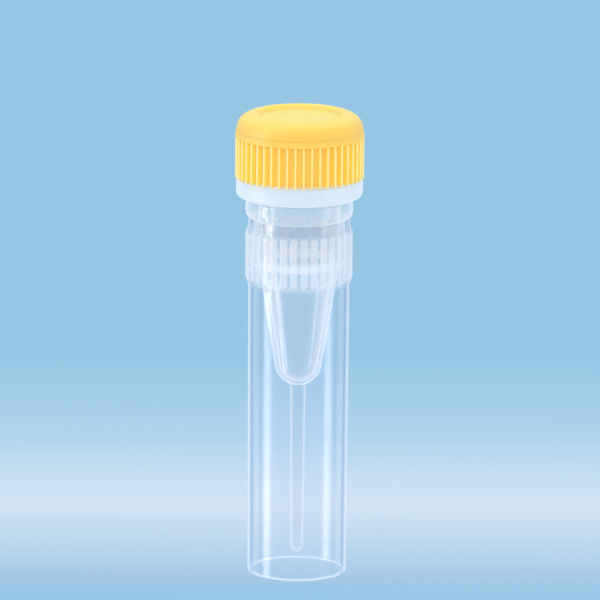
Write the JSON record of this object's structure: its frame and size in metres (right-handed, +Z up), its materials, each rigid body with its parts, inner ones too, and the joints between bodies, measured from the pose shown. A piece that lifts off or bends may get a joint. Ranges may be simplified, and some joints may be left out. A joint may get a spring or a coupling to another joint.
{
  "type": "screw-cap microcentrifuge tube",
  "caption": "Screw-cap microcentrifuge tube: a clear vessel with a thin closed stem, set in an open-bottomed sleeve with a ribbed collar.",
  "frame": {"origin": "centre of the sleeve's bottom rim, on the surface that the tube stands on", "axes": "+Z up along the tube's axis, towards the cap; X and Y are free, as the tube is round"},
  "size_m": [0.013, 0.013, 0.0473],
  "materials": {
    "cover_yellow": "satin, slightly see-through yellow polyethylene",
    "cap_natural": "milky natural polyethylene",
    "vessel_clear": "clear polypropylene, slightly hazy",
    "sleeve_clear": "clear polypropylene, polished",
    "seal_rubber": "soft translucent elastomer"
  },
  "bodies": {
    "tube": {"outer_sleeve": "sleeve_clear", "inner_vessel": "vessel_clear"},
    "cap_riser": {"cap_seal": "seal_rubber"},
    "cap": {"cap_body": "cap_natural", "cap_cover": "cover_yellow"}
  },
  "joints": [
    {"name": "cap_rise", "type": "slide", "parent": "tube", "child": "cap_riser", "axis": [0, 0, 1], "range_m": [0, 0.0075]},
    {"name": "cap_turn", "type": "hinge", "parent": "cap_riser", "child": "cap", "pos_m": [0, 0, 0.042], "axis": [0, 0, 1], "range_deg": [0, 1080]}
  ],
  "couplings": [
    {"joint": "cap_turn", "follows": "cap_rise", "rad_per_m": 2513.3}
  ]
}
